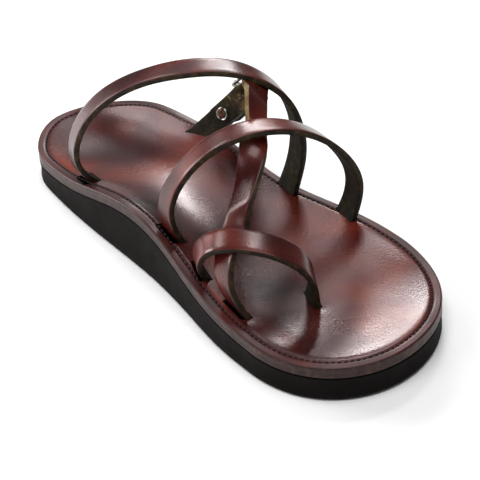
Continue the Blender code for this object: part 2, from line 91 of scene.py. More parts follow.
SIDE_STEPS = 130          # outline points from heel to toe, each side
STATION = 0.0014          # spacing of the strap sections
SEAM_AT = 0.0046          # from the edge to the stitch line
SEAM_DEPTH = 0.00045      # depth of the groove the stitches lie in
SEAM_WIDE = 0.0007        # half width of that groove
STITCH_PITCH = 0.0029
STITCH_LENGTH = 0.0023
THREAD = 0.00052          # radius of the thread
SLIT_OPEN = 0.0026        # how far an inner slit gapes on the outside of its strap
PRESS = 0.0002            # how deep the leather is pressed down around a slit
PRESS_ALONG = 0.0030      # how far past the strap's edge that reaches
PRESS_BESIDE = 0.0042     # and how far to each side of the slit
INSET = 0.0095            # from the edge to where the rings of the top follow the edge
EVEN_REACH = 0.006        # spread of the evening of the dish
EVEN_FADE = 0.012         # how far inside the inset that evening grows to its full share
DISH_RINGS = 40           # rings from the spine to the inset
RINGS_TO_SEAM = 5         # rings between the inset and the groove
TOP_CORNER = 1.4 * EDGE_ROUND   # rounding of the footbed's top corner
BAND_HOLLOW = 0.00012     # how far the footbed's cut edge draws in at half height
WALL_HOLLOW = 0.0004      # how far the outsole's side draws in at half height
CORNER = 0.0006           # rounding of a strap's outer corners
INNER_CORNER = 0.00035    # and of its inner ones
TIP = 0.006               # length of the diagonal strap's round tip
RAW_FROM, RAW_TO = 0.066, 0.118   # stretch of the diagonal strap whose cut edge is raw
BUCKLE_CORNER = 0.0005
BUCKLE_INNER_CORNER = 0.0003
THIN_OVER = 0.009         # length over which the buckle strap thins to the bar
FOLD_THIN_OVER = 0.006    # and over which the fold grows to its thickness
MAIN_STEPS = 42           # sections of the buckle strap up to the bar
TURN_STEPS = 12           # half turn around it
FOLD_STEPS = 24           # and along the fold
RUBBED_FROM = 3           # sections into the turn where the rubbed leather starts
RUBBED_TO = 8             # and sections into the fold where it ends

# Share of the length from the heel, half width inside and outside as shares of WIDTH, edge
# height inside and outside and depth of the dish as shares of ARCH_HEIGHT
SOLE = np.array([
    # along, inside, outside, inner_z, outer_z, dish
    [0.00, 0.2551, 0.3150, 0.562, 0.562, 0.109],
    [0.12, 0.3131, 0.3523, 0.568, 0.770, 0.139],
    [0.25, 0.3505, 0.3701, 0.734, 0.867, 0.157],
    [0.38, 0.3654, 0.3822, 1.000, 0.831, 0.169],
    [0.50, 0.3822, 0.4000, 0.988, 0.692, 0.151],
    [0.62, 0.4252, 0.4720, 0.737, 0.619, 0.109],
    [0.72, 0.4626, 0.5206, 0.637, 0.580, 0.085],
    [0.84, 0.4673, 0.5402, 0.583, 0.508, 0.079],
    [1.00, 0.4804, 0.5551, 0.589, 0.589, 0.073],
])
ROUND_END = (0.114, 0.164, 0.191, 0.237)
TOE_SHIFT = -0.0383

# Straps, a row per point of the centre line. Share of LENGTH from the heel, share of WIDTH from
# the middle to the outside, share of CREST up, then the direction across the strap
STRAP_TABLES = {
    "rear": [
        [0.2523, -0.2583, 0.2437, 0.10, 0.99, -0.13],
        [0.2483, -0.3014, 0.3025, 0.15, 0.99, -0.07],
        [0.2445, -0.3372, 0.4235, 0.34, 0.94, -0.00],
        [0.2511, -0.3006, 0.6093, 0.48, 0.88, 0.01],
        [0.2807, -0.1986, 0.7820, 0.61, 0.79, 0.07],
        [0.3335, -0.0659, 0.9098, 0.74, 0.67, 0.05],
        [0.4001, 0.0771, 0.9864, 0.75, 0.66, 0.06],
        [0.4667, 0.2347, 0.9822, 0.69, 0.72, -0.10],
        [0.5151, 0.3674, 0.8462, 0.42, 0.88, -0.20],
        [0.5334, 0.4207, 0.6337, 0.28, 0.96, -0.07],
        [0.5340, 0.4142, 0.4456, 0.21, 0.98, 0.03],
        [0.5295, 0.3878, 0.3168, 0.19, 0.98, 0.08],
        [0.5260, 0.3689, 0.2441, 0.12, 0.99, 0.11],
    ],
    "front": [
        [0.5234, -0.2965, 0.2936, 0.10, 0.99, -0.07],
        [0.5209, -0.3199, 0.3684, 0.12, 0.99, -0.04],
        [0.5208, -0.3291, 0.5058, 0.26, 0.96, 0.03],
        [0.5327, -0.2547, 0.6859, 0.42, 0.90, -0.05],
        [0.5583, -0.0977, 0.8312, 0.43, 0.90, -0.06],
        [0.5923, 0.1001, 0.8695, 0.40, 0.91, -0.08],
        [0.6249, 0.2882, 0.7870, 0.31, 0.94, -0.16],
        [0.6477, 0.4253, 0.6156, 0.19, 0.97, -0.13],
        [0.6571, 0.4840, 0.4297, 0.19, 0.98, -0.03],
        [0.6558, 0.4678, 0.2928, 0.23, 0.97, 0.01],
        [0.6530, 0.4430, 0.2185, 0.17, 0.98, 0.05],
    ],
    "toe": [
        [0.6200, -0.3380, 0.2316, 0.25, 0.96, 0.08],
        [0.6200, -0.3537, 0.2819, 0.36, 0.92, 0.15],
        [0.6250, -0.3701, 0.3741, 0.53, 0.80, 0.29],
        [0.6496, -0.3464, 0.4777, 0.74, 0.61, 0.27],
        [0.6925, -0.2728, 0.5206, 0.79, 0.60, 0.17],
        [0.7348, -0.1840, 0.4996, 0.76, 0.63, 0.11],
        [0.7683, -0.1023, 0.4228, 0.72, 0.69, 0.03],
        [0.7832, -0.0633, 0.3086, 0.58, 0.81, -0.08],
        [0.7863, -0.0668, 0.2133, 0.40, 0.91, -0.09],
        [0.7867, -0.0747, 0.1605, 0.24, 0.97, -0.06],
    ],
    "diagonal": [
        [0.3231, 0.4274, 0.4050, -0.02, -0.80, -0.60],
        [0.3465, 0.4636, 0.4965, 0.01, -0.77, -0.64],
        [0.3728, 0.4803, 0.5910, 0.05, -0.74, -0.67],
        [0.3999, 0.4479, 0.6786, 0.07, -0.74, -0.67],
        [0.4241, 0.4003, 0.7532, 0.09, -0.75, -0.65],
        [0.4548, 0.3537, 0.8544, 0.57, -0.76, -0.32],
        [0.4858, 0.2899, 0.9132, 0.65, -0.65, -0.40],
        [0.5155, 0.2288, 0.9198, 0.57, -0.40, -0.71],
        [0.5537, 0.1463, 0.8922, 0.63, -0.27, -0.73],
        [0.5828, 0.0734, 0.8396, 0.73, -0.25, -0.64],
        [0.6102, -0.0091, 0.7557, 0.56, -0.83, 0.07],
        [0.6298, -0.0836, 0.6745, 0.26, -0.91, 0.31],
        [0.6492, -0.1768, 0.5857, 0.16, -0.90, 0.39],
        [0.6664, -0.2613, 0.5155, 0.18, -0.88, 0.44],
        [0.6898, -0.3524, 0.4244, 0.09, -0.84, 0.54],
        [0.7128, -0.3936, 0.3254, -0.18, -0.82, 0.54],
        [0.7384, -0.3671, 0.1976, -0.34, -0.86, 0.37],
    ],
    "buckle": [
        [0.2992, 0.3182, 0.3103, -0.08, -0.83, -0.55],
        [0.3232, 0.3775, 0.4075, -0.03, -0.80, -0.59],
        [0.3504, 0.4191, 0.5093, 0.01, -0.77, -0.64],
        [0.3808, 0.4317, 0.6137, 0.05, -0.74, -0.67],
        [0.4121, 0.4126, 0.7143, 0.09, -0.74, -0.66],
        [0.4417, 0.3702, 0.8090, 0.10, -0.76, -0.65],
    ],
}


# Splines and the sole's surface

def spline(xs, ys):
    """Natural cubic spline through the rows."""
    n = len(xs)
    h = np.diff(xs)
    a = np.eye(n)
    b = np.zeros(ys.shape)
    for i in range(1, n - 1):
        a[i, i - 1:i + 2] = h[i - 1], 2 * (h[i - 1] + h[i]), h[i]
        b[i] = 6 * ((ys[i + 1] - ys[i]) / h[i] - (ys[i] - ys[i - 1]) / h[i - 1])
    m = np.linalg.solve(a, b)

    def at(x):
        i = int(np.clip(np.searchsorted(xs, x, side="right") - 1, 0, n - 2))
        t = x - xs[i]
        slope = (ys[i + 1] - ys[i]) / h[i] - h[i] * (2 * m[i] + m[i + 1]) / 6
        return ys[i] + t * (slope + t * (m[i] / 2 + t * (m[i + 1] - m[i]) / (6 * h[i])))

    return at


def unit(v):
    return v / np.linalg.norm(v)


def eased(t):
    """Smooth step from 0 to 1."""
    return t * t * (3 - 2 * t)


sole_row = spline(SOLE[:, 0], SOLE[:, 1:])


def round_end(s, share):
    t = min(max(s / share, 0.0), 1.0)
    return max(1 - (1 - t) ** 2, 0.0) ** 0.5


def edge_point(s, side):
    """Point on the top edge of the leather, side -1 inside and +1 outside."""
    inside, outside, inner_z, outer_z, dish = sole_row(s)
    heel_in, heel_out, toe_in, toe_out = ROUND_END
    if side < 0:
        half = inside * round_end(s, heel_in) * round_end(1 - s, toe_in)
        z = inner_z
    else:
        half = outside * round_end(s, heel_out) * round_end(1 - s, toe_out)
        z = outer_z
    return np.array([(TOE_SHIFT * s ** 3 + side * half) * WIDTH, (0.5 - s) * LENGTH,
                     z * ARCH_HEIGHT])


def spine_point(s):
    """Lowest line of the dish, from the heel cup to the toes."""
    s = min(max(s, SPINE_FROM), SPINE_TO)
    inside, outside, inner_z, outer_z, dish = sole_row(s)
    return np.array([(TOE_SHIFT * s ** 3 + (outside - inside) / 2) * WIDTH, (0.5 - s) * LENGTH,
                     ((inner_z + outer_z) / 2 - dish) * ARCH_HEIGHT])


around = [((1 - cos(pi * i / SIDE_STEPS)) / 2, -1) for i in range(SIDE_STEPS + 1)]
around += [(s, 1) for s, side in around[-2:0:-1]]
edges = np.array([edge_point(s, side) for s, side in around])
spines = np.array([spine_point(s) for s, side in around])
reaches = np.linalg.norm((edges - spines)[:, :2], axis=1)


def top_ring(r=1.0, distance=0.0, depth=0.0):
    """Ring of points on the leather's top, the share r of the way from the spine to the line
    that lies the distance inside the edge, lowered by the depth."""
    share = (r * (1 - distance / reaches))[:, None]
    ring = spines + (edges - spines) * share
    rise = np.minimum(share[:, 0] / RIM, 1.0) ** CUP
    ring[:, 2] = spines[:, 2] + (edges[:, 2] - spines[:, 2]) * rise - depth
    return ring


# Straps

def strap_guide(rows):
    """Centre line and across direction of a strap, both as functions of the distance run."""
    rows = np.array(rows)
    centre = np.stack([rows[:, 1] * WIDTH, (0.5 - rows[:, 0]) * LENGTH, rows[:, 2] * CREST], 1)
    run = np.concatenate([[0.0], np.cumsum(np.linalg.norm(np.diff(centre, axis=0), axis=1))])
    return spline(run, centre), spline(run, rows[:, 3:6]), run[-1]


def strap_frame(guide, at):
    """Centre, forward, across and outward at a distance along the guide."""
    line, across, length = guide
    inner = min(max(at, 0.0), length)
    step = 0.0004
    forward = unit(line(min(inner + step, length)) - line(max(inner - step, 0.0)))
    centre = line(inner) + forward * (at - inner)
    side = across(inner)
    side = unit(side - forward * np.dot(side, forward))
    return centre, forward, side, np.cross(forward, side)


guides = {name: strap_guide(rows) for name, rows in STRAP_TABLES.items()}
ends = {}
for name, guide in guides.items():
    low = strap_frame(guide, 0.0)[1]
    high = strap_frame(guide, guide[2])[1]
    ends[name] = [-ANCHOR_DROP / abs(low[2]), guide[2] + ANCHOR_DROP / abs(high[2])]
ends["diagonal"][0] = 0.0
ends["buckle"][1] = guides["buckle"][2] * BAR_AT


# Colours and nodes

def srgb(code):
    """Linear colour of an sRGB hex value."""
    values = [int(code[i:i + 2], 16) / 255 for i in (1, 3, 5)]
    return [v / 12.92 if v <= 0.04045 else ((v + 0.055) / 1.055) ** 2.4 for v in values] + [1.0]


def add(tree, kind, inputs=None, **settings):
    """Add a node with its settings; an input is a value or another node's socket."""
    node = tree.nodes.new(kind)
    for key, value in settings.items():
        setattr(node, key, value)
    for key, value in (inputs or {}).items():
        if isinstance(value, bpy.types.NodeSocket):
            tree.links.new(value, node.inputs[key])
        else:
            node.inputs[key].default_value = value
    return node


def ramp(tree, factor, stops):
    """Colour ramp from (place, hex colour) stops."""
    node = add(tree, "ShaderNodeValToRGB", {"Fac": factor})
    marks = node.color_ramp.elements
    while len(marks) < len(stops):
        marks.new(0.5)
    for mark, (place, code) in zip(marks, stops):
        mark.position = place
        mark.color = srgb(code)
    return node.outputs["Color"]


def span(tree, value, low, high, from_low=0.3, from_high=0.7):
    """A value carried over into the range from low to high."""
    node = add(tree, "ShaderNodeMapRange", {"Value": value, "From Min": from_low,
                                            "From Max": from_high, "To Min": low, "To Max": high})
    return node.outputs["Result"]


def new_material(name):
    material = bpy.data.materials.new(name)
    material.use_nodes = True
    tree = material.node_tree
    return material, tree, tree.nodes["Principled BSDF"], \
        add(tree, "ShaderNodeTexCoord").outputs["Object"]


def noise(tree, place, size, detail=3.0, rough=0.5, distortion=0.0):
    """Noise whose lumps are about the given size in metres."""
    return add(tree, "ShaderNodeTexNoise", {
        "Vector": place, "Scale": 1 / size, "Detail": detail, "Roughness": rough,
        "Distortion": distortion}).outputs["Fac"]


def bump(tree, shader, layers):
    """Stack bump layers, each a height socket and its depth in metres."""
    normal = None
    for height, depth in layers:
        inputs = {"Height": height, "Strength": 1.0, "Distance": depth}
        if normal is not None:
            inputs["Normal"] = normal
        normal = add(tree, "ShaderNodeBump", inputs).outputs["Normal"]
    tree.links.new(normal, shader.inputs["Normal"])


def leather_grain(name, stops, gloss, cloud, pore, coat=0.35):
    """Grain side of waxed, drum-dyed cowhide: colour lies in soft clouds, fine pores break up
    the shine, and the wax rubs duller in patches."""
    material, tree, shader, place = new_material(name)
    clouds = noise(tree, place, cloud, 1.0, 0.4)
    fine = noise(tree, place, 0.0014, 3.0, 0.6)
    blend = add(tree, "ShaderNodeMath", {0: clouds, 1: 0.82}, operation="MULTIPLY").outputs[0]
    part = add(tree, "ShaderNodeMath", {0: fine, 1: 0.18}, operation="MULTIPLY").outputs[0]
    mixed = add(tree, "ShaderNodeMath", {0: blend, 1: part}, operation="ADD").outputs[0]
    tree.links.new(ramp(tree, mixed, stops), shader.inputs["Base Color"])
    rubbed = noise(tree, place, cloud * 0.8, 1.0, 0.4)
    tree.links.new(span(tree, rubbed, gloss[0], gloss[1]), shader.inputs["Roughness"])
    pores = add(tree, "ShaderNodeTexVoronoi", {"Vector": place, "Scale": 1 / pore},
                feature="SMOOTH_F1").outputs["Distance"]
    waves = noise(tree, place, 0.016, 2.0, 0.5)
    bump(tree, shader, [(waves, 0.00006), (pores, 0.00005)])
    shader.inputs["Coat Weight"].default_value = coat
    shader.inputs["Coat Roughness"].default_value = 0.16
    shader.inputs["Coat IOR"].default_value = 1.45
    shader.inputs["Specular IOR Level"].default_value = 0.38
    shader.inputs["Specular Tint"].default_value = (1.0, 0.78, 0.77, 1.0)
    return material


def leather_fibre(name, stops, depth, roughness=0.85, fibre=0.0006):
    """Flesh side or cut edge of the same hide: matt, fibrous, mottled where the dye took
    unevenly."""
    material, tree, shader, place = new_material(name)
    patches = noise(tree, place, 0.005, 5.0, 0.65, 0.6)
    tree.links.new(ramp(tree, patches, stops), shader.inputs["Base Color"])
    shader.inputs["Roughness"].default_value = roughness
    shader.inputs["Specular IOR Level"].default_value = 0.25
    fibres = noise(tree, place, fibre, 6.0, 0.7, 1.2)
    bump(tree, shader, [(fibres, depth)])
    return material


def metal(name, codes, roughness, scratch=0.00001):
    """Polished or plated wire: bright, with fine wear and a darker film in places."""
    material, tree, shader, place = new_material(name)
    film = noise(tree, place, 0.002, 5.0, 0.6)
    tree.links.new(ramp(tree, film, [(0.35, codes[0]), (0.65, codes[1])]),
                   shader.inputs["Base Color"])
    shader.inputs["Metallic"].default_value = 1.0
    tree.links.new(span(tree, film, roughness[0], roughness[1]), shader.inputs["Roughness"])
    bump(tree, shader, [(noise(tree, place, 0.0005, 4.0, 0.6), scratch)])
    return material


INSOLE = leather_grain("waxed_cowhide_moulded", [
    (0.30, "#1c0908"), (0.45, "#340f0e"), (0.57, "#4b1813"), (0.72, "#6e2a1a")],
    (0.20, 0.30), 0.034, 0.0009, 0.15)
# Darker, duller leather from just inside the stitch groove out to the edge: the border's own darker
# tone, and painted shade in the groove.
RIM_TONE_AND_GROOVE_SHADE = leather_grain("waxed_cowhide_rim_groove_shade", [
    (0.30, "#1d0908"), (0.50, "#330f0e"), (0.72, "#4d1b17")], (0.34, 0.48), 0.020, 0.0008, 0.06)
GRAIN = leather_grain("waxed_cowhide_strap", [
    (0.30, "#260a09"), (0.46, "#3c120f"), (0.58, "#501b16"), (0.72, "#6c291f")],
    (0.22, 0.34), 0.024, 0.0007, 0.12)
FLESH = leather_fibre("cowhide_flesh_side", [
    (0.30, "#0d0904"), (0.48, "#1b150a"), (0.62, "#2e2512"), (0.80, "#564526")], 0.00014)
CUT = leather_fibre("cowhide_cut_edge_dyed", [
    (0.32, "#120c06"), (0.48, "#241a0e"), (0.62, "#3c2f19"), (0.78, "#66532f")], 0.00010, 0.62)
RAW = leather_fibre("cowhide_cut_edge_raw", [
    (0.28, "#4a3823"), (0.50, "#7a6240"), (0.72, "#a08a62")], 0.00010, 0.8)
RUBBED = leather_fibre("cowhide_flesh_rubbed", [
    (0.34, "#1c140b"), (0.50, "#3f2f1b"), (0.66, "#7a6440")], 0.00012)
BAND = leather_fibre("cowhide_edge_burnished", [
    (0.28, "#1e1210"), (0.48, "#33201c"), (0.62, "#482f29"), (0.78, "#694b41")],
    0.00006, 0.42, 0.0011)


def rubber(name, tread):
    """Moulded microcellular rubber: black, matt, dusty grey where it rubs, finely pitted."""
    material, tree, shader, place = new_material(name)
    dust = noise(tree, place, 0.012, 5.0, 0.65, 0.3)
    tree.links.new(ramp(tree, dust, [(0.30, "#070403"), (0.55, "#0c0705"), (0.78, "#17100b")]),
                   shader.inputs["Base Color"])
    tree.links.new(span(tree, dust, 0.7, 0.9), shader.inputs["Roughness"])
    layers = [(noise(tree, place, 0.0007, 4.0, 0.6), 0.00006)]
    if tread:
        ribs = add(tree, "ShaderNodeTexWave", {
            "Vector": place, "Scale": 1 / (0.0045 * 2 * pi), "Distortion": 1.2, "Detail": 0.0,
            "Detail Scale": 0.5}, wave_type="BANDS", bands_direction="Y").outputs["Fac"]
        layers.append((ribs, 0.0008))
    bump(tree, shader, layers)
    shader.inputs["IOR"].default_value = 1.22
    return material


SIDE_RUBBER = rubber("microcellular_rubber_moulded", False)
TREAD_RUBBER = rubber("microcellular_rubber_ribbed", True)
NICKEL = metal("nickel_plated_steel_wire", ("#8d8a84", "#d8d5cf"), (0.14, 0.30))
COPPER = metal("antique_copper_cap", ("#3c2822", "#7a5648"), (0.30, 0.48))


def thread_material():
    """Waxed polyester thread, dark brown, with the twist of its plies."""
    material, tree, shader, place = new_material("waxed_thread_twisted")
    tone = noise(tree, place, 0.004, 2.0)
    tree.links.new(ramp(tree, tone, [(0.35, "#160a09"), (0.65, "#2c1513")]),
                   shader.inputs["Base Color"])
    shader.inputs["Roughness"].default_value = 0.65
    shader.inputs["Specular IOR Level"].default_value = 0.25
    bump(tree, shader, [(noise(tree, place, 0.0004, 2.0), 0.00005)])
    return material


THREAD_WAXED = thread_material()


# Meshes

def finish_piece(obj, sharp=40):
    """Smooth shading with sharp corners past the angle."""
    mesh = obj.data
    mesh.shade_smooth()
    mesh.set_sharp_from_angle(angle=radians(sharp))
    return obj


def skin(name, rings, materials, pick, closed_ends=True):
    """Closed body through rings of points; pick(ring, spot) gives the material's number."""
    index = {}
    points = []
    numbered = []
    for ring in rings:
        row = []
        for p in ring:
            key = tuple(round(float(c), 7) for c in p)
            if key not in index:
                index[key] = len(points)
                points.append(key)
            row.append(index[key])
        numbered.append(row)
    faces = []
    looks = []
    for i, (low, high) in enumerate(zip(numbered, numbered[1:])):
        for j in range(len(low)):
            k = (j + 1) % len(low)
            corners = []
            for v in (low[j], low[k], high[k], high[j]):
                if v not in corners:
                    corners.append(v)
            if len(corners) > 2:
                faces.append(corners)
                looks.append(pick(i, j))
    for row, i in ((numbered[0][::-1], 0), (numbered[-1], len(rings) - 2)):
        if closed_ends and len(set(row)) == len(row):
            faces.append(row)
            looks.append(pick(i, 0))
    mesh = bpy.data.meshes.new(name)
    mesh.from_pydata(points, [], faces)
    for material in materials:
        mesh.materials.append(material)
    mesh.polygons.foreach_set("material_index", looks)
    work = bmesh.new()
    work.from_mesh(mesh)
    bmesh.ops.recalc_face_normals(work, faces=work.faces)
    work.to_mesh(mesh)
    work.free()
    obj = bpy.data.objects.new(name, mesh)
    bpy.context.scene.collection.objects.link(obj)
    return obj


def baked(obj):
    """Apply every modifier and drop them."""
    graph = bpy.context.evaluated_depsgraph_get()
    graph.update()
    mesh = bpy.data.meshes.new_from_object(obj.evaluated_get(graph))
    obj.modifiers.clear()
    obj.data = mesh
    return obj


def cut(obj, tools):
    for tool in tools:
        mod = obj.modifiers.new(tool.name, "BOOLEAN")
        mod.operation = "DIFFERENCE"
        mod.solver = "EXACT"
        mod.material_mode = "TRANSFER"
        mod.object = tool
    return baked(obj)


def press_under(over):
    """Shift that makes a strap pass beneath the straps over it and touch them flat."""
    frames = []
    for guide in over:
        frames += [strap_frame(guide, guide[2] * i / 300) for i in range(301)]
    centres = np.array([place[0] for place in frames])

    def press(point):
        nearest = int(np.argmin(np.linalg.norm(centres - point, axis=1)))
        centre, forward, side, out = frames[nearest]
        away = point - centre
        past = max(abs(np.dot(away, side)) - STRAP_WIDTH / 2, 0.0)
        excess = np.dot(away, out) + STRAP_THICK / 2 - CROSS_SINK
        share = 1 - past / PRESS_FADE
        if excess <= 0 or share <= 0:
            return np.zeros(3)
        return -out * excess * eased(share)

    return press


FACE_SPOTS = 6            # steps across the outer and the inner face of a strap
OUTER, CUT_RIGHT, INNER, CUT_LEFT = 0, 1, 2, 3


def band_section(frame_at, width, thick, corner, inner_corner, lift=0.0, press=None):
    """Points once around a strap's section, starting at the outer face, with round corners."""
    centre, forward, side, out = frame_at
    spots = []
    w, t = width / 2, thick / 2
    for k in range(FACE_SPOTS + 1):
        u = -w + corner + (2 * w - 2 * corner) * k / FACE_SPOTS
        spots.append((u, t))
    for k in (1, 2, 3):
        a = pi / 2 * (1 - k / 3)
        spots.append((w - corner + corner * cos(a), t - corner + corner * sin(a)))
    for k in (0, 1, 2):
        a = -pi / 2 * k / 2
        spots.append((w - inner_corner + inner_corner * cos(a),
                      -t + inner_corner + inner_corner * sin(a)))
    for k in range(1, FACE_SPOTS):
        u = w - inner_corner - (2 * w - 2 * inner_corner) * k / FACE_SPOTS
        spots.append((u, -t))
    for k in (2, 1, 0):
        a = pi + pi / 2 * k / 2
        spots.append((-w + inner_corner + inner_corner * cos(a),
                      -t + inner_corner + inner_corner * sin(a)))
    for k in (3, 2, 1):
        a = pi / 2 + pi / 2 * k / 3
        spots.append((-w + corner + corner * cos(a), t - corner + corner * sin(a)))
    points = [centre + side * u + out * (v + lift) for u, v in spots]
    if press:
        points = [p + press(centre + side * u + out * (t + lift))
                  for p, (u, v) in zip(points, spots)]
    return points


def part_of_section(j):
    """Which face of the strap the spot belongs to."""
    if j <= FACE_SPOTS + 1:
        return OUTER
    if j <= FACE_SPOTS + 4:
        return CUT_RIGHT
    if j <= FACE_SPOTS * 2 + 5:
        return INNER
    if j <= FACE_SPOTS * 2 + 9:
        return CUT_LEFT
    return OUTER


def strap(name, guide, start, end, width, thick, looks=None, tip=0.0, press=None):
    """A strap as one band; looks(run, face) may give another material number."""
    steps = max(int(round((end - start) / STATION)), 2)
    runs = [start + (end - start) * i / steps for i in range(steps + 1)]
    rings = []
    for run in runs:
        wide = width
        if tip:
            t = min(max((run - start) / tip, 0.0), 1.0)
            wide = width * max(1 - (1 - t) ** 2, 0.12) ** 0.5
        rings.append(band_section(strap_frame(guide, run), wide, thick, CORNER, INNER_CORNER,
                                  press=press))

    def pick(i, j):
        face = part_of_section(j)
        other = looks(runs[i], face) if looks else None
        if other is not None:
            return other
        return {OUTER: 0, CUT_RIGHT: 1, INNER: 2, CUT_LEFT: 1}[face]

    return skin(name, rings, [GRAIN, CUT, FLESH, RAW], pick)


def turned(name, profile, centre, axis, materials, pick, steps=32):
    """A body of revolution; profile rows are height along the axis and radius."""
    axis = unit(axis)
    first = unit(np.cross(axis, [0.0, 0.0, 1.0]))
    second = np.cross(axis, first)
    rings = []
    for height, radius in profile:
        rings.append([centre + axis * height + radius * (first * cos(a) + second * sin(a))
                      for a in (2 * pi * i / steps for i in range(steps))])
    return skin(name, rings, materials, pick)


# Slit cutters

def slit_cutters(name, width, thick, lift=0.0, gape=(0.0, 0.0)):
    """Cutters for the slits of a strap; gape widens one to the outside of its strap."""
    start, end = ends[name]
    guide = guides[name]
    spans = []
    if start < 0:
        spans.append((start - SLIT_CLEAR, SLIT_REACH, gape[0]))
    if end > guide[2]:
        spans.append((guide[2] - SLIT_REACH, end + SLIT_CLEAR, gape[1]))
    made = []
    for low, high, wide in spans:
        rings = []
        for i in range(9):
            place = strap_frame(guide, low + (high - low) * i / 8)
            rings.append(band_section(place, width + 2 * SLIT_CLEAR,
                                      thick + 2 * SLIT_CLEAR + wide, 0.0012, 0.0006,
                                      lift + wide / 2))
        tool = skin("slit_%s_%d" % (name, len(made)), rings, [FLESH], lambda i, j: 0)
        tool.hide_render = True
        made.append(tool)
    return made


slits = slit_cutters("rear", STRAP_WIDTH, STRAP_THICK, gape=(SLIT_OPEN, 0.0))
slits += slit_cutters("front", STRAP_WIDTH, STRAP_THICK, gape=(SLIT_OPEN, 0.0))
slits += slit_cutters("toe", STRAP_WIDTH, STRAP_THICK, gape=(SLIT_OPEN * 0.5, 0.0002))
slits += slit_cutters("diagonal", STRAP_WIDTH, STRAP_THICK, gape=(0.0, SLIT_OPEN * 0.5))
slits += slit_cutters("buckle", BUCKLE_STRAP_WIDTH, STRAP_THICK, BUCKLE_STRAP_LIFT)

# Where the leather is pressed down around the slits
mouths = []
for name in ("rear", "front", "toe", "diagonal", "buckle"):
    start, end = ends[name]
    if start < 0:
        mouths.append(strap_frame(guides[name], 0.0))
    if end > guides[name][2]:
        mouths.append(strap_frame(guides[name], guides[name][2]))


def pressed(ring):
    """Lower a ring of the leather's top near each slit."""
    ring = ring.copy()
    for centre, forward, side, out in mouths:
        away = ring[:, :2] - centre[:2]
        flat = unit(side[:2])
        along = away @ flat
        past = np.maximum(np.abs(along) - STRAP_WIDTH / 2, 0.0)
        off = away @ np.array([-flat[1], flat[0]])
        ring[:, 2] -= PRESS * np.exp(-(past / PRESS_ALONG) ** 2 - (off / PRESS_BESIDE) ** 2)
    return ring


# Footbed

rings = [top_ring(r, INSET) for r in np.linspace(0.0, 1.0, DISH_RINGS)]
for distance in (0.0090, 0.0082, 0.0074, 0.0067, 0.0061, 0.0056, 0.0052, 0.0049, 0.0046, 0.0043,
                 0.0040, 0.0036, 0.0031, 0.0026, 0.0020, 0.0014, 0.0010):
    groove = SEAM_DEPTH * exp(-((distance - SEAM_AT) / SEAM_WIDE) ** 2)
    rings.append(top_ring(distance=distance, depth=groove))


def settled(rings, reach=EVEN_REACH):
    """Even out the bends of the dish, as wet moulding does, away from the edge."""
    grid = np.array(rings)
    across_rings = np.gradient(grid, axis=0)
    along_ring = (np.roll(grid, -1, 1) - np.roll(grid, 1, 1)) / 2
    area = np.linalg.norm(np.cross(across_rings, along_ring), axis=-1).ravel()
    flat = grid[..., :2].reshape(-1, 2)
    height = grid[..., 2].ravel()
    even = np.empty(len(flat))
    for i in range(0, len(flat), 1000):
        gap = ((flat[i:i + 1000, None] - flat[None]) ** 2).sum(-1)
        weight = np.exp(-gap / (2 * reach * reach)) * area
        even[i:i + 1000] = weight @ height / weight.sum(1)
    inside = np.linalg.norm((grid - edges)[..., :2], axis=-1).ravel()
    share = eased(np.clip((inside - INSET) / EVEN_FADE, 0.0, 1.0))
    grid[..., 2] = (height + (even - height) * share).reshape(grid.shape[:2])
    return list(grid)


tops = [pressed(ring) for ring in settled(rings)]
bottom = []
for k in range(5):
    a = pi / 2 * k / 4
    tops.append(top_ring(distance=TOP_CORNER * (1 - sin(a)), depth=TOP_CORNER * (1 - cos(a))))
    bottom.append(top_ring(distance=EDGE_ROUND * (1 - cos(a)),
                           depth=LEATHER - EDGE_ROUND * (1 - sin(a))))
band = [top_ring(distance=BAND_HOLLOW * (1 - abs(2 * t - 1)), depth=TOP_CORNER + t * (
    LEATHER - TOP_CORNER - EDGE_ROUND)) for t in (0.2, 0.35, 0.5, 0.65, 0.8)]
under = [top_ring(r, depth=LEATHER) for r in (0.9, 0.62, 0.34, 0.0)]
all_rings = tops + band + bottom + under
first_rim = DISH_RINGS + RINGS_TO_SEAM
last_top = len(tops) - 3
last_band = len(tops) + len(band) + len(bottom) - 1


def footbed_look(i, j):
    if i < first_rim:
        return 0
    # From the groove's inner wall out to the top corner: the darker rim leather, which paints shade
    # into the stitch groove.
    if i < last_top:
        return 3
    return 1 if i < last_band else 2


footbed = skin("footbed_leather", all_rings, [INSOLE, BAND, FLESH, RIM_TONE_AND_GROOVE_SHADE], footbed_look)
footbed = finish_piece(cut(footbed, slits), 50)

# Outsole

def floor_ring(height, r=1.0, distance=0.0):
    ring = top_ring(r, distance)
    for p, (s, side) in zip(ring, around):
        t = max(s - SPRING_FROM, 0.0) / (1 - SPRING_FROM)
        p[2] = height + TOE_SPRING * t * t
    return ring


drop = LEATHER + GAP
rings = [top_ring(r, depth=drop) for r in (0.0, 0.34, 0.62, RIM)]
rings += [top_ring(distance=EDGE_ROUND, depth=drop), top_ring(1.0, depth=drop + EDGE_ROUND)]
wall_top = top_ring(1.0, depth=drop + EDGE_ROUND)
wall_low = floor_ring(SOLE_ROUND)
for t in (0.1, 0.25, 0.4, 0.55, 0.7, 0.85):
    ring = wall_top * (1 - t) + wall_low * t
    inward = (spines - edges) / reaches[:, None]
    ring[:, :2] += inward[:, :2] * WALL_HOLLOW * (1 - (2 * t - 1) ** 2)
    rings.append(ring)
for k in range(6):
    a = pi / 2 * k / 5
    rings.append(floor_ring(SOLE_ROUND * (1 - sin(a)), distance=SOLE_ROUND * (1 - cos(a))))
side_end = len(rings) - 1
rings += [floor_ring(0.0, r) for r in (0.9, 0.6, 0.3)]
flat_ring = floor_ring(0.0, 0.0)
flat_ring[:, 2] = 0.0
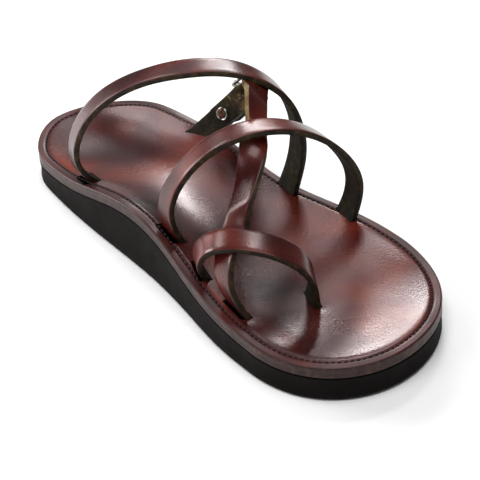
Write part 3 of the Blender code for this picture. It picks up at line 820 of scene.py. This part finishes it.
rings.append(flat_ring)
outsole = skin("outsole_rubber", rings, [SIDE_RUBBER, TREAD_RUBBER, FLESH],
               lambda i, j: 0 if i < side_end else 1)
outsole = finish_piece(cut(outsole, slits), 45)

# Straps of the upper


def diagonal_look(run, face):
    """Its cut edge stays raw on the heel side of the upper half."""
    if face == CUT_LEFT and RAW_FROM < run < RAW_TO:
        return 3
    return None


straps = {}
for name in ("rear", "front", "toe"):
    straps[name] = strap("strap_" + name, guides[name], ends[name][0], ends[name][1],
                         STRAP_WIDTH, STRAP_THICK)
straps["diagonal"] = strap("strap_diagonal", guides["diagonal"], 0.0, ends["diagonal"][1],
                           STRAP_WIDTH, STRAP_THICK, looks=diagonal_look, tip=TIP,
                           press=press_under([guides["rear"], guides["front"], guides["toe"]]))

# Buckle

buckle_guide = guides["buckle"]
bar_run = buckle_guide[2] * BAR_AT
bar_centre, bar_forward, bar_side, bar_out = strap_frame(buckle_guide, bar_run)
diagonal = guides["diagonal"]
runs = np.linspace(0.0, diagonal[2], 400)
over_bar = min(runs, key=lambda run: np.linalg.norm(diagonal[0](run) - bar_centre))
bar_lift = STRAP_THICK / 2 + GAP + WIRE
rear_frame = strap_frame(diagonal, over_bar - FRAME_REACH)
front_frame = strap_frame(diagonal, over_bar + FRAME_REACH)
rear_bar = rear_frame[0] + rear_frame[3] * bar_lift
front_bar = front_frame[0] + front_frame[3] * bar_lift
hole_run = over_bar + PRONG_HOLE

punches = []
for i in HOLE_PLACES:
    centre, forward, side, out = strap_frame(diagonal, hole_run + i * HOLE_PITCH)
    punch = turned("punch_%d" % i, ((-STRAP_THICK, HOLE), (STRAP_THICK, HOLE)), centre, out,
                   [CUT], lambda i, j: 0, 24)
    punch.hide_render = True
    punches.append(punch)
cut(straps["diagonal"], punches)

# The buckle strap runs up, thins, turns around the bar and comes back on its inside
eye_thick = EYE_RADIUS - WIRE - GAP
eye_mid = WIRE + GAP + eye_thick / 2
main_start = ends["buckle"][0]
fold_lift = BUCKLE_STRAP_LIFT - STRAP_THICK / 2 - FOLD_THICK / 2
rings = []
for i in range(MAIN_STEPS + 1):
    run = main_start + (bar_run - main_start) * i / MAIN_STEPS
    t = eased(min(max((run - bar_run + THIN_OVER) / THIN_OVER, 0.0), 1.0))
    thick = STRAP_THICK + (eye_thick - STRAP_THICK) * t
    lift = BUCKLE_STRAP_LIFT + (eye_mid - BUCKLE_STRAP_LIFT) * t
    rings.append(band_section(strap_frame(buckle_guide, run), BUCKLE_STRAP_WIDTH, thick,
                              BUCKLE_CORNER, BUCKLE_INNER_CORNER, lift))
for i in range(1, TURN_STEPS):
    a = pi / 2 - pi * i / TURN_STEPS
    out = bar_forward * cos(a) + bar_out * sin(a)
    turn = (bar_centre, np.cross(bar_side, out), bar_side, out)
    rings.append(band_section(turn, BUCKLE_STRAP_WIDTH, eye_thick, BUCKLE_CORNER,
                              BUCKLE_INNER_CORNER, eye_mid))
fold_end = buckle_guide[2] * FOLD_FROM
for i in range(FOLD_STEPS + 1):
    run = bar_run + (fold_end - bar_run) * i / FOLD_STEPS
    t = eased(min(max((bar_run - run) / FOLD_THIN_OVER, 0.0), 1.0))
    thick = eye_thick + (FOLD_THICK - eye_thick) * t
    lift = -eye_mid + (fold_lift + eye_mid) * t
    centre, forward, side, out = strap_frame(buckle_guide, run)
    rings.append(band_section((centre, -forward, side, -out), BUCKLE_STRAP_WIDTH - FOLD_NARROW,
                              thick, BUCKLE_CORNER, BUCKLE_INNER_CORNER, -lift))
rubbed_from = MAIN_STEPS + 1 + RUBBED_FROM
rubbed_to = MAIN_STEPS + TURN_STEPS + RUBBED_TO


def buckle_strap_look(i, j):
    """Grain outside up to the bar, then the rubbed turn and the flesh side folded inside."""
    face = part_of_section(j)
    if face == OUTER:
        return 3 if i < rubbed_from else 4 if i < rubbed_to else 0
    return 2 if face == INNER else 1


buckle_strap = skin("buckle_strap_leather", rings, [FLESH, CUT, FLESH, GRAIN, RUBBED],
                    buckle_strap_look)
finish_piece(buckle_strap, 45)


def wire(name, path, radius, closed=False):
    """A round wire along a smoothed path."""
    data = bpy.data.curves.new(name, "CURVE")
    data.dimensions = "3D"
    data.bevel_depth = radius
    data.bevel_resolution = 5
    data.use_fill_caps = not closed
    line = data.splines.new("POLY")
    line.points.add(len(path) - 1)
    for point, p in zip(line.points, path):
        point.co = (p[0], p[1], p[2], 1.0)
    line.use_cyclic_u = closed
    curve = bpy.data.objects.new(name + "_curve", data)
    bpy.context.scene.collection.objects.link(curve)
    graph = bpy.context.evaluated_depsgraph_get()
    graph.update()
    mesh = bpy.data.meshes.new_from_object(curve.evaluated_get(graph))
    bpy.data.objects.remove(curve)
    mesh.materials.clear()
    mesh.materials.append(NICKEL)
    obj = bpy.data.objects.new(name, mesh)
    bpy.context.scene.collection.objects.link(obj)
    return finish_piece(obj, 60)


def softened(points, closed, share=0.25, times=3):
    """Cut each corner of a path several times."""
    for _ in range(times):
        following = points[1:] + points[:1] if closed else points[1:]
        cuts = [] if closed else [points[0]]
        for p, q in zip(points, following):
            cuts.append(p + (q - p) * share)
            cuts.append(q - (q - p) * share)
        points = cuts if closed else cuts + [points[-1]]
    return points


def leg(sign, steps=10):
    a = rear_bar + rear_frame[2] * sign * FRAME_HALF_WIDTH
    b = bar_centre + bar_side * sign * FRAME_HALF_WIDTH
    c = front_bar + front_frame[2] * sign * FRAME_HALF_WIDTH
    bend = 2 * b - (a + c) / 2
    return [a * (1 - t) ** 2 + 2 * bend * t * (1 - t) + c * t * t
            for t in (i / steps for i in range(steps + 1))]


reach = FRAME_HALF_WIDTH - WIRE
loop = leg(-1)
loop += [front_bar - front_frame[2] * reach, front_bar + front_frame[2] * reach]
loop += leg(1)[::-1]
loop += [rear_bar + rear_frame[2] * reach, rear_bar - rear_frame[2] * reach]
buckle_frame = wire("buckle_frame_wire", softened(loop, True), WIRE, True)
middle_bar = wire("buckle_middle_bar", [bar_centre - bar_side * FRAME_HALF_WIDTH,
                                        bar_centre + bar_side * FRAME_HALF_WIDTH], WIRE * 0.9)
hook = WIRE + GAP + PRONG
path = []
for i in range(11):
    a = pi * (0.82 + 1.28 * i / 10)
    path.append(bar_centre + hook * (bar_forward * cos(a) + bar_out * sin(a)))
hole_frame = strap_frame(diagonal, hole_run)
above = STRAP_THICK / 2 + PRONG + GAP
rest = front_bar + front_frame[3] * (WIRE + GAP + PRONG)
path.append(hole_frame[0] - hole_frame[3] * STRAP_THICK / 2)
path.append(hole_frame[0] + hole_frame[3] * (above + GAP) + hole_frame[1] * PRONG_LEAN)
path.append(rest - front_frame[1] * (WIRE + GAP / 2))
path.append(rest + front_frame[1] * PRONG_TIP)
buckle_prong = wire("buckle_prong_wire", softened(path, False, 0.25, 2), PRONG)

# Rivet: a domed copper cap in a bright ring on the inside, a flat one on the outside
rivet_frame = strap_frame(buckle_guide, buckle_guide[2] * RIVET_AT)
inner_face = fold_lift - FOLD_THICK / 2
outer_face = BUCKLE_STRAP_LIFT + STRAP_THICK / 2
profile = [(inner_face - RIVET_HEIGHT * h, RIVET_CAP * r) for h, r in (
    (0.95, 0.05), (0.94, 0.25), (0.90, 0.45), (0.80, 0.60), (0.62, 0.70), (0.56, 0.74),
    (0.72, 0.80), (0.76, 0.88), (0.62, 0.97), (0.30, 1.0), (0.0, 0.97))]
profile += [(inner_face, RIVET_SHANK), (outer_face, RIVET_SHANK)]
profile += [(outer_face + RIVET_HEIGHT * h, RIVET_CAP * r) for h, r in (
    (0.0, 0.80), (0.25, 0.81), (0.40, 0.74), (0.42, 0.40), (0.42, 0.05))]
rivet = turned("rivet_cap", profile, rivet_frame[0], rivet_frame[3], [COPPER, NICKEL],
               lambda i, j: 0 if i < 5 or i > 13 else 1, 40)
finish_piece(rivet, 50)

# Stitches

seam = top_ring(distance=SEAM_AT, depth=SEAM_DEPTH * 0.55)
seam = pressed(seam)
mesh = bpy.data.meshes.new("stitch_line")
mesh.from_pydata([tuple(p) for p in seam], [(i, (i + 1) % len(seam)) for i in range(len(seam))], [])
stitches = bpy.data.objects.new("stitches", mesh)
bpy.context.scene.collection.objects.link(stitches)

tree = bpy.data.node_groups.new("row_of_stitches", "GeometryNodeTree")
tree.interface.new_socket("Geometry", in_out="INPUT", socket_type="NodeSocketGeometry")
tree.interface.new_socket("Geometry", in_out="OUTPUT", socket_type="NodeSocketGeometry")
wants = {"Pitch": STITCH_PITCH, "Stitch length": STITCH_LENGTH, "Thread radius": THREAD}
for label in wants:
    tree.interface.new_socket(label, in_out="INPUT", socket_type="NodeSocketFloat")
given = tree.nodes.new("NodeGroupInput").outputs
curve = add(tree, "GeometryNodeMeshToCurve", {"Mesh": given["Geometry"]}).outputs["Curve"]
spots = add(tree, "GeometryNodeCurveToPoints", {"Curve": curve, "Length": given["Pitch"]},
            mode="LENGTH")
ball = add(tree, "GeometryNodeMeshUVSphere", {"Segments": 8, "Rings": 6, "Radius": 1.0})
half = add(tree, "ShaderNodeMath", {0: given["Stitch length"], 1: 0.5}, operation="MULTIPLY")
size = add(tree, "ShaderNodeCombineXYZ", {"X": half.outputs[0], "Y": given["Thread radius"],
                                          "Z": given["Thread radius"]})
turn = add(tree, "FunctionNodeAlignRotationToVector", {"Vector": spots.outputs["Tangent"]},
           axis="X")
sway = add(tree, "FunctionNodeRandomValue", {"Seed": 7}, data_type="FLOAT")
sway.inputs[2].default_value = -0.14
sway.inputs[3].default_value = 0.14
lean = add(tree, "ShaderNodeCombineXYZ", {"X": 0.0, "Y": 0.0, "Z": sway.outputs[1]})
lean = add(tree, "FunctionNodeEulerToRotation", {"Euler": lean.outputs[0]})
turned_by = add(tree, "FunctionNodeRotateRotation", {
    "Rotation": turn.outputs[0], "Rotate By": lean.outputs[0]}, rotation_space="LOCAL")
row = add(tree, "GeometryNodeInstanceOnPoints", {
    "Points": spots.outputs["Points"], "Instance": ball.outputs["Mesh"],
    "Rotation": turned_by.outputs[0], "Scale": size.outputs[0]})
real = add(tree, "GeometryNodeRealizeInstances", {"Geometry": row.outputs["Instances"]})
smooth = add(tree, "GeometryNodeSetShadeSmooth", {"Geometry": real.outputs["Geometry"]})
coloured = add(tree, "GeometryNodeSetMaterial", {"Geometry": smooth.outputs["Geometry"],
                                                 "Material": THREAD_WAXED})
result = tree.nodes.new("NodeGroupOutput")
tree.links.new(coloured.outputs["Geometry"], result.inputs["Geometry"])
mod = stitches.modifiers.new("row_of_stitches", "NODES")
mod.node_group = tree
for item in tree.interface.items_tree:
    if item.in_out == "INPUT" and item.name in wants:
        mod[item.identifier] = wants[item.name]
baked(stitches)

for name, piece in straps.items():
    finish_piece(piece, 50)
for tool in slits + punches:
    bpy.data.objects.remove(tool)

# What stands for what

for piece, node in ((footbed, "footbed"), (outsole, "outsole"), (straps["diagonal"], "upper"),
                    (buckle_strap, "buckle_strap"), (buckle_frame, "buckle_frame"),
                    (buckle_prong, "buckle_prong"), (rivet, "rivet")):
    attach(piece, "root")
    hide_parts(node)
for piece, slot in ((straps["rear"], "upper"), (straps["front"], "upper"),
                    (straps["toe"], "upper"), (middle_bar, "buckle_frame"),
                    (stitches, "footbed")):
    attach(piece, "root")

# Floor, camera and light

FLOOR_HALF = 6.0
floor_mesh = bpy.data.meshes.new("studio_floor")
floor_mesh.from_pydata([(x * FLOOR_HALF, y * FLOOR_HALF, 0.0) for x, y in (
    (-1, -1), (1, -1), (1, 1), (-1, 1))], [], [(0, 1, 2, 3)])
floor = bpy.data.objects.new("studio_floor", floor_mesh)
bpy.context.scene.collection.objects.link(floor)
paper, tree, shader, place = new_material("studio_paper_matt")
shader.inputs["Base Color"].default_value = srgb("#fbfbfb")
shader.inputs["Roughness"].default_value = 0.9
shader.inputs["Specular IOR Level"].default_value = 0.0
floor_mesh.materials.append(paper)

AZIMUTH, ELEVATION, ROLL = radians(-37.26), radians(36.09), radians(-3.94)
DISTANCE = 0.91137
FRAME_PIXELS = 480
SENSOR = 36.0             # millimetres across the frame
FOCAL = 1847.23           # pixels
TARGET = np.array([-0.00084, -0.01675, 0.015])
back = np.array([sin(AZIMUTH) * cos(ELEVATION), -cos(AZIMUTH) * cos(ELEVATION), sin(ELEVATION)])
right = unit(np.cross(-back, [0.0, 0.0, 1.0]))
up = np.cross(right, -back)
right, up = right * cos(ROLL) + up * sin(ROLL), -right * sin(ROLL) + up * cos(ROLL)
where = TARGET + back * DISTANCE
lens = bpy.data.cameras.new("camera")
lens.sensor_width = SENSOR
lens.lens = FOCAL / FRAME_PIXELS * SENSOR
lens.clip_start = 0.01
camera = bpy.data.objects.new("camera", lens)
camera.matrix_world = Matrix([[right[0], up[0], back[0], where[0]],
                              [right[1], up[1], back[1], where[1]],
                              [right[2], up[2], back[2], where[2]], [0, 0, 0, 1]])
bpy.context.scene.collection.objects.link(camera)
bpy.context.scene.camera = camera


def softbox(name, azimuth, elevation, distance, width, height, watts):
    """A soft light that looks at the sandal; azimuth 0 is the toe's side, 90 the outer side."""
    a, e = radians(azimuth), radians(elevation)
    spot = Vector((sin(a) * cos(e), -cos(a) * cos(e), sin(e))) * distance
    data = bpy.data.lights.new(name, "AREA")
    data.shape = "RECTANGLE"
    data.size = width
    data.size_y = height
    data.energy = watts
    lamp = bpy.data.objects.new(name, data)
    lamp.matrix_world = Matrix.Translation(spot) @ spot.to_track_quat("Z", "Y").to_matrix().to_4x4()
    bpy.context.scene.collection.objects.link(lamp)
    return lamp


softbox("light_back", 139, 29, 1.3, 0.38, 0.13, 4.8)
softbox("light_heel", 176, 38, 1.3, 0.30, 0.26, 1.9)
softbox("light_low", 205, 22, 1.2, 0.60, 0.45, 10.0)
softbox("light_high", 129, 55, 1.3, 0.22, 0.18, 2.8)
softbox("light_side", -95, 35, 1.0, 0.35, 0.4, 1.2)
softbox("light_fill", -30, 78, 1.3, 0.8, 0.8, 11)

world = bpy.data.worlds.new("studio")
world.use_nodes = True
world.node_tree.nodes["Background"].inputs["Color"].default_value = (1.0, 1.0, 1.0, 1.0)
world.node_tree.nodes["Background"].inputs["Strength"].default_value = 0.16
bpy.context.scene.world = world
bpy.context.scene.view_settings.view_transform = "Standard"
